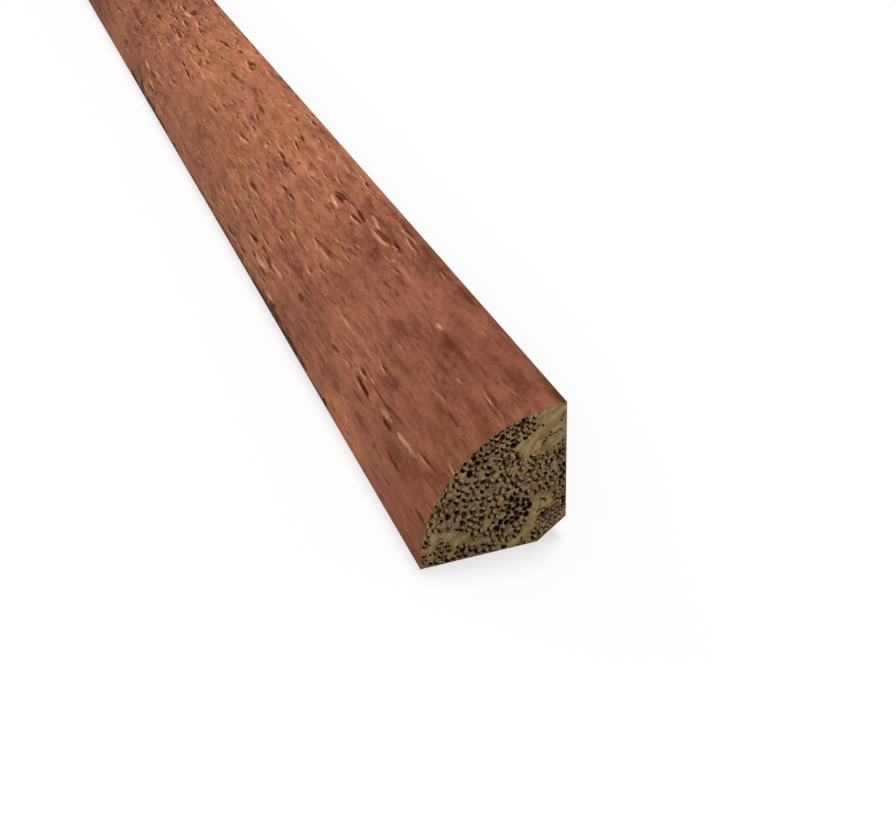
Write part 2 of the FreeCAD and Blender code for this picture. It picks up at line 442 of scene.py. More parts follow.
class Face:
    """The curved face as a grid: along (rows) by down (columns), with what each point carries."""

    LAYERS = ("depth", "slit", "slit_dark", "lip", "toe_stain", "lightness", "scarred")

    def __init__(self, along, segments):
        self.along = np.asarray(along, float)
        self.down = np.linspace(0, ARC, segments + 1)
        shape = (len(self.along), len(self.down))
        self.layers = {name: np.zeros(shape) for name in self.LAYERS}

    def window(self, along_from, along_to, down_from, down_to):
        """The rows and columns that a mark can reach, and their coordinates, or None."""
        rows = slice(*np.searchsorted(self.along, (along_from, along_to)))
        columns = slice(*np.searchsorted(self.down, (down_from, down_to)))
        if rows.start == rows.stop or columns.start == columns.stop:
            return None
        return (rows, columns), self.along[rows, None], self.down[None, columns]

    def beside(self, mark, above, below):
        """The window of a mark that runs from tip to tip, or None, with how far each point lies along it,
        from -1 to 1, and how far below its line."""
        tip, down_tip, end, down_end = mark[:4]
        if tip > end:
            tip, down_tip, end, down_end = end, down_end, tip, down_tip
        spread = (end - tip) / 2
        low, high = sorted((down_tip, down_end))
        found = self.window(tip - spread, end + spread, low - above, high + below)
        if found is None:
            return None
        place, along, down = found
        reach = (along - (tip + end) / 2) / spread
        aside = down - (down_tip + (down_end - down_tip) * (along - tip) / (end - tip))
        return place, along, down, reach, aside

    def cut_slit(self, mark, seed):
        """A slit: steep on its crest side, easy on its toe side, dark in its bed with pooled stain and painted
        shade, with a light lip below that is partly wear and partly a painted highlight.
        """
        width, dark, lip = mark[4:]
        found = self.beside(mark, 2 * width, 3 * width)
        if found is None:
            return
        place, along, down, reach, aside = found
        aside = aside + 0.18 * width * lattice_noise(seed, along, down, 1.6, 0.9)
        aside = aside + 0.08 * lattice_noise(seed + 1, along, down, 0.9, 0.35)
        half = np.where(aside < 0, *SLIT_BED) * width
        taper = np.abs(reach) ** 3
        round_it = np.sqrt(taper + (aside / half) ** 2)
        field = np.clip(1 - round_it / 2, 0, 1)
        slit, slit_dark = self.layers["slit"], self.layers["slit_dark"]
        stronger = field * dark > slit[place] * slit_dark[place]
        slit[place] = np.where(stronger, field, slit[place])
        slit_dark[place] = np.where(stronger, dark, slit_dark[place])
        wall = np.where(aside < 0, -aside / (SLIT_WALLS[0] * width), aside / (SLIT_WALLS[1] * width))
        bed = np.clip(1 - wall**2 - taper, 0, 1)
        self.layers["depth"][place] += SLIT_DEPTH * width * (0.35 + 0.65 * dark) * bed**0.8
        across = (aside - LIP_PLACE * width) / max(LIP_BAND * width, FINEST_BAND)
        self.layers["lip"][place] += lip * np.exp(-(across**2)) * np.clip(1.15 - reach**2, 0, 1)

    def raise_fibre(self, mark):
        """A fibre that stands a little proud of its surroundings, with the stain gone thin from wear."""
        width, strength = mark[4:]
        found = self.beside(mark, 2 * width, 2 * width)
        if found is None:
            return
        place, _, _, reach, aside = found
        across = aside / max(FIBRE_BAND * width, FINEST_BAND)
        round_it = np.clip(1.2 - reach**2, 0, 1) * np.exp(-(across**2))
        self.layers["lip"][place] += strength * round_it
        self.layers["depth"][place] -= FIBRE_HEIGHT * strength * round_it

    def sink_hollow(self, mark):
        """A shallow scraped hollow with stain pooled in it, or a low light swelling if dark is below 0."""
        middle, down_middle, length, width, dark = mark
        found = self.window(middle - length, middle + length, down_middle - width, down_middle + width)
        if found is None:
            return
        place, along, down = found
        off_along = (along - middle) / (length * HOLLOW_FALL)
        off_down = (down - down_middle) / (width * HOLLOW_FALL)
        round_it = np.exp(-(off_along**2 + off_down**2))
        self.layers["lightness"][place] -= 0.75 * dark * round_it
        self.layers["depth"][place] += 0.11 * dark * round_it

    def stain_toe(self, mark):
        """Dark stain on the last of the face before the toe."""
        start, stop, up, strength = mark
        if start > stop:
            start, stop = stop, start
        found = self.window(start - 3, stop + 3, ARC - 3 * up, ARC + 1)
        if found is None:
            return
        place, along, down = found
        ends = smooth_step(start - 2.5, start + 2.5, along) * smooth_step(-stop - 2.5, -stop + 2.5, -along)
        edge = np.exp(-(((ARC - down) / up) ** 2))
        layer = self.layers["toe_stain"]
        layer[place] = np.maximum(layer[place], strength * ends * edge)

    def weather(self):
        """What runs along the whole stick: scraped waves, fine ridges and the drift of the stain, with painted
        light and shade from toe to crest and a darker band along the crest.
        """
        along = np.repeat(self.along[:, None], len(self.down), 1)
        down = np.repeat(self.down[None, :], len(self.along), 0)
        at_toe = run_on(along, LIGHTNESS, 1, TOE_DRIFT)
        at_crest = run_on(along, LIGHTNESS, 2, CREST_DRIFT)
        scarred = run_on(along, SCARRED, 1, SCAR_DRIFT)
        self.layers["scarred"] += scarred + 0.25 * lattice_noise(8, along, down, 16, 5)
        self.layers["depth"] += SKIN_DEPTH
        for seed, depth, extra, *size in WAVES:
            self.layers["depth"] += (depth + extra * scarred) * lattice_noise(seed, along, down, *size)
        lightness = at_crest + (at_toe - at_crest) * down / ARC - 0.15 * smooth_step(-4.5, 0, -down)
        for seed, strength, *size in PATCHES:
            lightness = lightness + strength * lattice_noise(seed, along, down, *size)
        self.layers["lightness"] += lightness

    def settle(self):
        """Holds the depth inward, and the crest and toe edges on their lines."""
        depth = np.clip(self.layers["depth"], 0, None)
        from_edge = np.minimum(self.down, ARC - self.down)[None, :]
        self.layers["depth"] = depth * smooth_step(0, 1.4, from_edge) + 0.012 * smooth_step(1.0, 0, from_edge)
        self.layers["lip"] = np.clip(self.layers["lip"], 0, 1.6)
        self.layers["scarred"] = np.clip(self.layers["scarred"], 0, 1)

    def points(self):
        """The grid in the row frame, in millimetres from the near end, the middle and the floor."""
        turn = math.pi / 2 - self.down / RADIUS
        reach = RADIUS - self.layers["depth"]
        x = RADIUS / 2 - reach * np.cos(turn)[None, :]
        z = reach * np.sin(turn)[None, :]
        y = np.repeat(self.along[:, None], len(self.down), 1)
        return np.stack([x, y, z], -1)


def all_marks():
    """The listed marks, with their twins, and the seeded ones."""
    slits = with_twins(SLITS, (0, 2))
    for spread in SCATTERED_SLITS:
        slits += scattered_slits(*spread)
    return {
        "slits": slits,
        "fibres": with_twins(FIBRES, (0, 2)),
        "hollows": with_twins(HOLLOWS, (0,)),
        "toe_stains": with_twins(TOE_STAINS, (0, 1)) + later_stains(),
    }


def make_face(along, segments, marks):
    """One stretch of the curved face with all its marks."""
    face = Face(along, segments)
    for number, mark in enumerate(marks["slits"]):
        face.cut_slit(mark, 100 + number % 90)
    for mark in marks["fibres"]:
        face.raise_fibre(mark)
    for mark in marks["hollows"]:
        face.sink_hollow(mark)
    for mark in marks["toe_stains"]:
        face.stain_toe(mark)
    face.weather()
    face.settle()
    return face


def close_rows():
    """Rows of the close stretch: nearer together towards the near end, and nearest at the pit."""
    pit_start, pit_stop, pit_step = PIT_STRETCH
    rows = [0.0]
    while rows[-1] < CLOSE_LENGTH:
        step = CLOSE_STEPS[0] + (CLOSE_STEPS[1] - CLOSE_STEPS[0]) * (rows[-1] / CLOSE_LENGTH)
        if pit_start < rows[-1] < pit_stop:
            step = pit_step
        rows.append(rows[-1] + step)
    return np.array(rows)


def back_points():
    """The section's flat sides after the toe, up to but not with the crest: x across, z up."""
    heel = RADIUS / 2
    corners = [(-RADIUS / 2, 0.0), (heel - RELIEF_ON_FLOOR, 0.0), (heel, RELIEF_UP_WALL), (heel, RADIUS)]
    found = []
    for (x0, z0), (x1, z1), parts in zip(corners, corners[1:], BACK_SEGMENTS):
        for step in range(1, parts + 1):
            share = step / parts
            found.append((x0 + (x1 - x0) * share, z0 + (z1 - z0) * share))
    return found[:-1]


class Mesh:
    """Vertices, faces and what they carry, gathered before the Blender mesh is made."""

    CARRIED = ("slit", "slit_dark", "lip", "toe_stain", "lightness", "scarred", "pore", "heart", "plain")
    STAINED, RAW, END = 0, 1, 2

    def __init__(self):
        self.points = []
        self.count = 0
        self.carried = {name: [] for name in self.CARRIED}
        self.faces = []
        self.materials = []
        self.maps = []

    def add_points(self, points, **carried):
        """Adds points and returns their numbers."""
        points = np.asarray(points, float).reshape(-1, 3)
        first = self.count
        self.count += len(points)
        self.points.append(points)
        for name in self.CARRIED:
            values = carried.get(name)
            self.carried[name].append(np.zeros(len(points)) if values is None else np.ravel(values))
        return np.arange(first, self.count)

    def add_faces(self, corners, material, places):
        """Adds faces of equal size: corners (n, k) and their places on the baking map (n, k, 2)."""
        corners = np.asarray(corners)
        self.faces.append(corners)
        self.materials.append(np.full(len(corners), material))
        self.maps.append(np.asarray(places, float))


# The baking map: the length is folded into strips, one above another, with the ends to their right.
MAP_STRIPS = 6
MAP_GAP = 0.006
MAP_LEFT = 2 * MAP_GAP
MAP_WIDTH = 0.83
MAP_ENDS = MAP_WIDTH + 3 * MAP_GAP
FACE_BANDS = (0.17, 0.09, 0.09, 0.09, 0.09, 0.09)
BACK_BAND = 0.05


def strip_places(along, share, on_back):
    """Where points of the long sides lie on the map: along in mm, share across the face or the backs."""
    strip = np.minimum((along.mean(1) / LENGTH * MAP_STRIPS).astype(int), MAP_STRIPS - 1)
    length = LENGTH / MAP_STRIPS
    bottoms = []
    level = MAP_GAP
    for band in FACE_BANDS:
        bottoms.append(level)
        level += band + BACK_BAND + 2 * MAP_GAP
    bottom = np.array(bottoms)[strip]
    height = np.array(FACE_BANDS)[strip]
    across = (along - strip[:, None] * length) / (length + PLAIN_STEP) * MAP_WIDTH + MAP_LEFT
    if on_back:
        up = (bottom + height + MAP_GAP)[:, None] + share * BACK_BAND
    else:
        up = bottom[:, None] + share * height[:, None]
    return np.stack([across, up], -1)


def add_stretch(mesh, face):
    """Adds the points of a stretch, its curved face and the flat sides behind. Gives the ring of each row."""
    backs = back_points()
    rows, columns = len(face.along), len(face.down)
    carried = {name: layer for name, layer in face.layers.items() if name in Mesh.CARRIED}
    front = mesh.add_points(face.points(), **carried).reshape(rows, columns)
    back = [[(x, along, z) for x, z in backs] for along in face.along]
    behind = mesh.add_points(back).reshape(rows, len(backs))
    return np.concatenate([front, behind], 1)


def face_line(ring, segments):
    """The part of a ring that lies on the curved face."""
    return ring[: segments + 1]


def back_line(ring, segments):
    """The part of a ring that runs from the toe round the flat sides to the crest."""
    return np.append(ring[segments:], ring[0])


def add_quads(mesh, first, second, along, material):
    """Quads between two lines of points, each at its own distance along."""
    share = np.arange(len(first)) / (len(first) - 1)
    left, right = share[:-1], share[1:]
    corners = np.stack([first[:-1], second[:-1], second[1:], first[1:]], 1)
    rows = np.tile([along[0], along[1], along[1], along[0]], (len(corners), 1))
    places = strip_places(rows, np.stack([left, left, right, right], 1), material == Mesh.RAW)
    mesh.add_faces(corners, material, places)


def side_faces(mesh, rings, along, segments):
    """The faces of one stretch, first its curved face and then its flat sides."""
    for line, material in ((face_line, Mesh.STAINED), (back_line, Mesh.RAW)):
        for first, second, *ends in zip(rings, rings[1:], along, along[1:]):
            add_quads(mesh, line(first, segments), line(second, segments), ends, material)


def thin_out(mesh, fine, coarse, along, segments):
    """Joins a ring to one with half as many segments on the curved face."""
    here, there = along
    for piece in range(segments // 2):
        a, b, c = fine[2 * piece : 2 * piece + 3]
        d, e = coarse[piece : piece + 2]
        left, middle, right = (2 * piece + np.arange(3)) / segments
        corners = [(a, d, b), (b, d, e), (b, e, c)]
        rows = [(here, there, here), (here, there, there), (here, there, here)]
        share = [(left, left, middle), (middle, left, right), (middle, right, right)]
        mesh.add_faces(corners, Mesh.STAINED, strip_places(np.array(rows), np.array(share), False))
    add_quads(mesh, back_line(fine, segments), back_line(coarse, segments // 2), along, Mesh.RAW)


# The end grain: a row of a hexagonal lattice over its spacing, how loose the lattice is, the bend of the
# strands and its size, and the radius of the pores that lie in lines.
HEX_ROW = 0.866
SLACK = 0.1
BEND, BEND_SIZE = 1.1, 2.2
LINE_PORE = 0.19

# Rings of points round a bundle: how many, how far out, and how far from its middle, away from the pore.
BUNDLE_RINGS = ((12, 1.0, 0.0), (12, 0.84, 0.0), (9, 0.5, -0.24), (1, 0.0, -0.24))
RIM, WALL = 0, 1
LEAST_HEART = 0.22

# The two ends: seed, size of the bundles against the table's, spacing of the points between them, and the
# side and the corner of the end on the baking map. The far end is coarser.
NEAR_END = (41, 1.0, 0.3, 0.15, (MAP_ENDS, 0.02))
FAR_END = (57, 1.35, 0.55, 0.08, (MAP_ENDS, 0.2))


def distance_to_stroke(x, z, stroke):
    """How far points lie from a stroke's line, in half widths."""
    x0, z0, x1, z1, half_width = stroke
    run, rise = x1 - x0, z1 - z0
    share = np.clip(((x - x0) * run + (z - z0) * rise) / (run**2 + rise**2), 0, 1)
    return np.hypot(x - x0 - share * run, z - z0 - share * rise) / half_width


def plain_tissue(x, z):
    """1 in the plain tissue of the end grain, 0 outside it, with a soft ragged edge."""
    nearest = np.full(np.shape(x), 9.0)
    for stroke in PLAIN_TISSUE:
        nearest = np.minimum(nearest, distance_to_stroke(x, z, stroke))
    ragged = nearest + 0.3 * lattice_noise(31, x, z, 1.1, 1.1) + 0.3 * lattice_noise(32, x, z, 0.4, 0.4)
    return 1 - smooth_step(0.75, 1.25, ragged)


def inside_section(x, z, margin):
    """True for points at least margin inside the section."""
    from_heel = RADIUS - x
    slope = math.hypot(RELIEF_ON_FLOOR, RELIEF_UP_WALL)
    relief = (from_heel * RELIEF_UP_WALL + z * RELIEF_ON_FLOOR - RELIEF_ON_FLOOR * RELIEF_UP_WALL) / slope
    inside = (np.hypot(from_heel, z) < RADIUS - margin) & (from_heel > margin)
    return inside & (z > margin) & (relief > margin)


def strand_lattice(middle, spacing, random):
    """A strand's own loose hexagonal lattice over the whole section."""
    reach = int(RADIUS / spacing) + 2
    row, column = (grid.ravel() for grid in np.meshgrid(np.arange(-reach, reach), np.arange(-reach, reach)))
    turn = random.uniform(0, math.pi / 3)
    across = (column + 0.5 * (row % 2)) * spacing
    up = row * spacing * HEX_ROW
    x = middle[0] + across * math.cos(turn) - up * math.sin(turn)
    z = middle[1] + across * math.sin(turn) + up * math.cos(turn)
    x = x + random.normal(0, SLACK * spacing, x.shape)
    z = z + random.normal(0, SLACK * spacing, z.shape)
    near = (x > 0) & (x < RADIUS) & (z > 0) & (z < RADIUS)
    return x[near], z[near]


def wanted_bundles(seed, size_factor):
    """Bundles strand by strand, and then the lines of pores. Each is x, z, radius, blackness, heart, side,
    and how far the pore wraps round to the other side."""
    random = np.random.default_rng(seed)
    middles = np.array(STRANDS)[:, :2]
    wanted = []
    for number, (*middle, spacing, size, blackness, lightness, degrees) in enumerate(STRANDS):
        x, z = strand_lattice(middle, spacing * size_factor, random)
        sway_x = BEND * lattice_noise(seed + 1, x, z, BEND_SIZE, BEND_SIZE)
        sway_z = BEND * lattice_noise(seed + 2, x, z, BEND_SIZE, BEND_SIZE)
        gaps = np.hypot(middles[:, 0] - (x + sway_x)[:, None], middles[:, 1] - (z + sway_z)[:, None])
        tissue = plain_tissue(x, z)
        luck = random.normal(0, 1, (len(x), 4))
        own = (np.argmin(gaps, 1) == number) & (random.uniform(0, 1, len(x)) > 0.985 * tissue)
        for x_one, z_one, chance, plain in zip(x[own], z[own], luck[own], tissue[own]):
            radius = size * size_factor * math.exp(0.12 * chance[0]) * (0.6 if plain > 0.5 else 1)
            black = np.clip(blackness + 0.16 * chance[1], 0.3, 1)
            heart = np.clip(lightness * (1 + 0.45 * chance[2]), 0, 1)
            side = math.radians(degrees + 24 * chance[3])
            wanted.append((x_one, z_one, radius, black, heart, side, random.uniform(0.1, 0.55)))
    for x0, z0, x1, z1, spacing in PORE_LINES:
        count = int(math.hypot(x1 - x0, z1 - z0) / spacing) + 1
        for share in np.linspace(0, 1, count):
            x_one = x0 + (x1 - x0) * share + random.normal(0, 0.04)
            z_one = z0 + (z1 - z0) * share + random.normal(0, 0.04)
            wanted.append((x_one, z_one, LINE_PORE, random.uniform(0.4, 0.8), 0.0, random.uniform(0, 6), 0.0))
    return wanted


def place_bundles(seed, size_factor):
    """The wanted bundles without those that fall on another, shrunk to clear each other and the outline."""
    kept = np.zeros((0, 7))
    for bundle in wanted_bundles(seed, size_factor):
        gaps = np.hypot(kept[:, 0] - bundle[0], kept[:, 1] - bundle[1]) - 0.56 * (kept[:, 2] + bundle[2])
        if len(kept) and gaps.min() < 0:
            continue
        kept = np.vstack([kept, bundle])
    for row, bundle in enumerate(kept):
        gaps = np.hypot(kept[:, 0] - bundle[0], kept[:, 1] - bundle[1])
        gaps[row] = 9
        closest = np.argmin(gaps)
        crowded = gaps[closest] / (0.93 * (bundle[2] + kept[closest, 2]))
        kept[row, 2] *= min(1, crowded)
        while kept[row, 2] > 0.1 and not inside_section(bundle[0], bundle[1], kept[row, 2] * 0.6):
            kept[row, 2] *= 0.9
    return kept[kept[:, 2] > 0.1]


def lobed(turn, random):
    """How far an uneven outline reaches each way round, against a circle: mostly taller than wide."""
    tall = math.pi / 2 + random.normal(0, 0.6)
    three = random.uniform(0, 2 * math.pi)
    shape = 1 + 0.17 * np.cos(2 * (turn - tall)) + 0.11 * np.cos(3 * (turn - three))
    return shape + random.normal(0, 0.05, turn.shape)


def bundle_points(bundle, random):
    """One bundle: a pit that lies round a light heart, wide on one side. Rows of x, z, depth, pore, heart."""
    x, z, radius, black, heart, side, wrap = bundle
    if heart < LEAST_HEART:
        heart = 0.0
    rows = []
    for ring, (count, reach, shift) in enumerate(BUNDLE_RINGS):
        turn = side + np.arange(count) * 2 * math.pi / count
        if ring != WALL:
            uneven = lobed(turn, random)
        near_pore = 0.5 + 0.5 * np.cos(turn - side)
        ring_x = x + shift * radius * math.cos(side) + reach * radius * uneven * np.cos(turn)
        ring_z = z + shift * radius * math.sin(side) + reach * radius * uneven * np.sin(turn)
        pore, lit = np.zeros(count), np.zeros(count)
        if ring == WALL:
            pore = black * (wrap + (1 - wrap) * near_pore**1.3)
        elif ring != RIM and heart > 0:
            pore = black * 0.75 * near_pore**3
            lit = heart * (1 - near_pore**3)
        elif ring != RIM:
            pore = np.full(count, black)
        depth = 0.8 * radius * pore + 0.05 * lit
        rows.append(np.stack([ring_x, ring_z, depth, pore, lit], 1))
    if heart > 0:
        rows[-1][:, 2:] = (0.04, 0.0, heart)
    return np.concatenate(rows)


def ground_points(seed, spacing, bundles):
    """Points of the tissue between the bundles, on a loose hexagonal lattice."""
    random = np.random.default_rng(seed)
    rows = int(RADIUS / (spacing * HEX_ROW)) + 1
    columns = int(RADIUS / spacing) + 1
    row, column = np.meshgrid(np.arange(rows), np.arange(columns), indexing="ij")
    x = (column + 0.5 * (row % 2)) * spacing + random.normal(0, 0.12 * spacing, row.shape)
    z = row * spacing * HEX_ROW + random.normal(0, 0.12 * spacing, row.shape)
    x, z = x.ravel(), z.ravel()
    free = inside_section(x, z, spacing * 0.45)
    for bundle in bundles:
        free &= np.hypot(x - bundle[0], z - bundle[1]) > bundle[2] * 1.25
    x, z = x[free], z[free]
    depth = 0.012 + 0.01 * lattice_noise(seed + 1, x, z, 0.7, 0.7)
    pore = 0 * x
    for line in PORE_LINES:
        pore = np.maximum(pore, 0.4 * smooth_step(0.34, 0.12, distance_to_stroke(x, z, (*line[:4], 1.0))))
    return np.stack([x, z, depth, pore, 0 * x], 1)


def clear_of_outline(x, z, outline, margin):
    """True for points inside an end's outline and at least margin away from it."""
    curved = outline[: len(outline) - sum(BACK_SEGMENTS) + 1]
    turn = np.arctan2(curved[:, 1], RADIUS - curved[:, 0])
    reach = np.hypot(RADIUS - curved[:, 0], curved[:, 1])
    limit = np.interp(np.arctan2(z, RADIUS - x), turn[::-1], reach[::-1])
    return inside_section(x, z, margin) & (np.hypot(RADIUS - x, z) < limit - margin)


def within_outline(points, outline):
    """True for points inside a closed outline."""
    inside = np.zeros(len(points), bool)
    for (x0, z0), (x1, z1) in zip(outline, np.roll(outline, -1, 0)):
        if z0 == z1:
            continue
        crosses = (z0 > points[:, 1]) != (z1 > points[:, 1])
        inside ^= crosses & (points[:, 0] < x0 + (points[:, 1] - z0) * (x1 - x0) / (z1 - z0))
    return inside


def close_end(mesh, ring, along, inward, end):
    """Fills one end with its bundles, as triangles between the outline and the points inside it."""
    seed, size_factor, spacing, map_side, map_corner = end
    bundles = place_bundles(seed, size_factor)
    random = np.random.default_rng(seed + 9)
    inner = [bundle_points(bundle, random) for bundle in bundles]
    inner = np.concatenate(inner + [ground_points(seed + 5, spacing, bundles)])
    ring_points = np.concatenate(mesh.points)[ring]
    outline = np.stack([ring_points[:, 0] + RADIUS / 2, ring_points[:, 2]], 1)
    inner = inner[clear_of_outline(inner[:, 0], inner[:, 1], outline, 0.06)]
    flat = np.concatenate([outline, inner[:, :2]])
    made = delaunay_2d_cdt([Vector(p) for p in flat.tolist()], [], [list(range(len(outline)))], 1, 1e-6, True)
    where, triangles, sources = made[0], made[2], made[3]
    if len(where) != len(flat):
        raise RuntimeError(f"the end's triangles have {len(where)} points for {len(flat)}")
    triangles = np.array([s[0] for s in sources])[np.array(triangles)]
    points = np.stack([inner[:, 0] - RADIUS / 2, along + inward * inner[:, 2], inner[:, 1]], 1)
    plain = plain_tissue(inner[:, 0], inner[:, 1])
    numbers = mesh.add_points(points, pore=inner[:, 3], heart=inner[:, 4], plain=plain)
    numbers = np.concatenate([ring, numbers])
    triangles = triangles[within_outline(flat[triangles].mean(1), outline)]
    if inward < 0:
        triangles = triangles[:, ::-1]
    mesh.add_faces(numbers[triangles], Mesh.END, flat[triangles] / RADIUS * map_side + map_corner)


def gather_mesh():
    """The whole stick as one closed surface."""
    mesh = Mesh()
    marks = all_marks()
    close = close_rows()
    join = close[-1] + JOIN_STEPS[0]
    plain_start = join + JOIN_STEPS[1]
    plain = np.linspace(plain_start, LENGTH, int((LENGTH - plain_start) / PLAIN_STEP))

    stretches = []
    for along, share in ((close, 1), ([join], 2), (plain, 4)):
        segments = CLOSE_SEGMENTS // share
        face = make_face(along, segments, marks)
        stretches.append((face.along, add_stretch(mesh, face), segments))
    for along, rings, segments in stretches:
        side_faces(mesh, rings, along, segments)
    for (along_a, rings_a, segments), (along_b, rings_b, _) in zip(stretches, stretches[1:]):
        thin_out(mesh, rings_a[-1], rings_b[0], (along_a[-1], along_b[0]), segments)

    close_end(mesh, stretches[0][1][0], 0.0, 1, NEAR_END)
    close_end(mesh, stretches[-1][1][-1], LENGTH, -1, FAR_END)
    return mesh


def make_object(name, mesh):
    """The Blender object of a gathered mesh."""
    points = np.concatenate(mesh.points) * MM
    points[:, 1] += cad_low.y
    sizes = np.concatenate([np.full(len(f), f.shape[1]) for f in mesh.faces])
    corners = np.concatenate([f.ravel() for f in mesh.faces])
    starts = np.concatenate([[0], np.cumsum(sizes)[:-1]])
    places = np.concatenate([m.ravel() for m in mesh.maps])
    data = bpy.data.meshes.new(name)
    data.vertices.add(len(points))
    data.vertices.foreach_set("co", points.ravel())
    data.loops.add(len(corners))
    data.loops.foreach_set("vertex_index", corners.astype(np.int32))
    data.polygons.add(len(sizes))
    data.polygons.foreach_set("loop_start", starts.astype(np.int32))
    data.polygons.foreach_set("material_index", np.concatenate(mesh.materials).astype(np.int32))
    data.update(calc_edges=True)
    for layer in Mesh.CARRIED:
        attribute = data.attributes.new(layer, "FLOAT", "POINT")
        attribute.data.foreach_set("value", np.concatenate(mesh.carried[layer]).astype(np.float32))
    baking = data.uv_layers.new(name="OFBake")
    baking.data.foreach_set("uv", places.astype(np.float32))
    data.validate()
    data.shade_smooth()
    data.set_sharp_from_angle(angle=math.radians(32))
    made = bpy.data.objects.new(name, data)
    bpy.context.scene.collection.objects.link(made)
    return made


def screen(red, green, blue):
    """A colour as a screen shows it, 0 to 255, turned into the linear one that a shader takes."""
    linear = []
    for value in (red, green, blue):
        share = value / 255
        linear.append(share / 12.92 if share <= 0.04045 else ((share + 0.055) / 1.055) ** 2.4)
    return (*linear, 1.0)


class Recipe:
    """A material or a world under way: each call adds a node and gives its output."""

    def __init__(self, name, kind="materials"):
        self.owner = getattr(bpy.data, kind).new(name)
        self.owner.use_nodes = True
        self.tree = self.owner.node_tree
        self.tree.nodes.clear()

    def node(self, kind, inputs, **settings):
        made = self.tree.nodes.new(kind)
        for name, value in settings.items():
            setattr(made, name, value)
        for name, value in inputs.items():
            if isinstance(value, bpy.types.NodeSocket):
                self.tree.links.new(value, made.inputs[name])
            else:
                made.inputs[name].default_value = value
        return made

    def math(self, operation, first, second, clamp=False):
        inputs = {0: first, 1: second}
        return self.node("ShaderNodeMath", inputs, operation=operation, use_clamp=clamp).outputs[0]

    def times(self, first, second):
        return self.math("MULTIPLY", first, second)

    def larger(self, first, second):
        return self.math("MAXIMUM", first, second)

    def total(self, *values):
        result = values[0]
        for value in values[1:]:
            result = self.math("ADD", result, value)
        return result

    def centred(self, value, strength):
        """A noise turned into a swing round zero."""
        return self.times(self.math("SUBTRACT", value, 0.5), strength)

    def rise(self, value, low, high):
        """0 below low, 1 above high."""
        inputs = {"Value": value, "From Min": low, "From Max": high}
        return self.node("ShaderNodeMapRange", inputs, interpolation_type="SMOOTHSTEP").outputs[0]

    def carried(self, name):
        """What the mesh carries under that name."""
        return self.node("ShaderNodeAttribute", {}, attribute_name=name).outputs["Fac"]

    def place(self, stretch=(1.0, 1.0, 1.0)):
        """The point on the object in metres, squeezed along each axis."""
        point = self.node("ShaderNodeTexCoord", {}).outputs["Object"]
        return self.node("ShaderNodeVectorMath", {0: point, 1: stretch}, operation="MULTIPLY").outputs[0]

    def unrolled(self, squeeze, towards_crest=0.0):
        """The point on the curved face laid flat: metres up from the toe, and squeezed metres along."""
        x, y, z = self.node("ShaderNodeSeparateXYZ", {0: self.place()}).outputs
        turn = self.math("ARCTAN2", z, self.math("SUBTRACT", RADIUS / 2 * MM, x))
        up = self.total(self.times(turn, RADIUS * MM), towards_crest)
        return self.node("ShaderNodeCombineXYZ", {0: up, 1: self.times(y, squeeze)}).outputs[0]

    def noise(self, place, scale, detail=2.0, roughness=0.5, distortion=0.0):
        inputs = {
            "Vector": place,
            "Scale": scale,
            "Detail": detail,
            "Roughness": roughness,
            "Distortion": distortion,
        }
        return self.node("ShaderNodeTexNoise", inputs).outputs["Fac"]

    def streaks(self, squeeze, *settings):
        """Noise drawn out along the stick."""
        return self.noise(self.place((1.0, squeeze, 1.0)), *settings)

    def ramp(self, value, stops):
        """Colours over a value. Each stop is a place from 0 to 1 and a colour as a screen shows it."""
        made = self.node("ShaderNodeValToRGB", {"Fac": value})
        elements = made.color_ramp.elements
        while len(elements) < len(stops):
            elements.new(1.0)
        for element, (position, *colour) in zip(elements, stops):
            element.position = position
            element.color = screen(*colour)
        return made.outputs["Color"]

    def mix(self, share, first, second):
        return self.node("ShaderNodeMix", {0: share, 6: first, 7: second}, data_type="RGBA").outputs[2]

    def tint(self, colour, share, shown):
        """Lays a colour, given as a screen shows it, over another by a share."""
        return self.mix(share, colour, screen(*shown))

    def shown_ray(self):
        """1 for the rays by which the surroundings are seen: straight, in a gloss or through glass."""
        path = self.node("ShaderNodeLightPath", {}).outputs
        seen = self.larger(path["Is Camera Ray"], path["Is Glossy Ray"])
        return self.larger(seen, path["Is Transmission Ray"])

    def surface(self, colour, roughness, height, depth, specular):
        """Ends the recipe with one shader, its bump of that depth in metres."""
        normal = self.node("ShaderNodeBump", {"Height": height, "Distance": depth, "Strength": 1.0})
        inputs = {
            "Base Color": colour,
            "Roughness": roughness,
            "Specular IOR Level": specular,
            "Normal": normal.outputs[0],
        }
        shader = self.node("ShaderNodeBsdfPrincipled", inputs)
        self.node("ShaderNodeOutputMaterial", {"Surface": shader.outputs[0]})
        return self.owner


# Colours as a screen shows them.
STAIN = [
    (0.0, 106, 58, 37),
    (0.18, 132, 80, 61),
    (0.33, 152, 94, 71),
    (0.5, 167, 107, 79),
    (0.66, 182, 116, 84),
    (0.82, 199, 131, 93),
    (1.0, 216, 157, 121),
]
OLIVE_CAST = (160, 108, 62)
PINK_CAST = (162, 99, 82)
DASH_STAIN_AND_SHADE = (98, 52, 29)
DASH_LIP_WEAR_AND_HIGHLIGHT = (214, 154, 118)
SLIT_STAIN_AND_SHADE = (80, 43, 21)
TOE_DARK = (62, 45, 25)
WEAR_AND_HIGHLIGHT = (206, 148, 115)
BRIGHT_WEAR_AND_HIGHLIGHT = (226, 170, 134)
RAW = [
    (0.05, 58, 40, 26),
    (0.35, 96, 74, 50),
    (0.55, 120, 97, 66),
    (0.85, 152, 128, 90),
]
BLED_STAIN = (128, 80, 58)
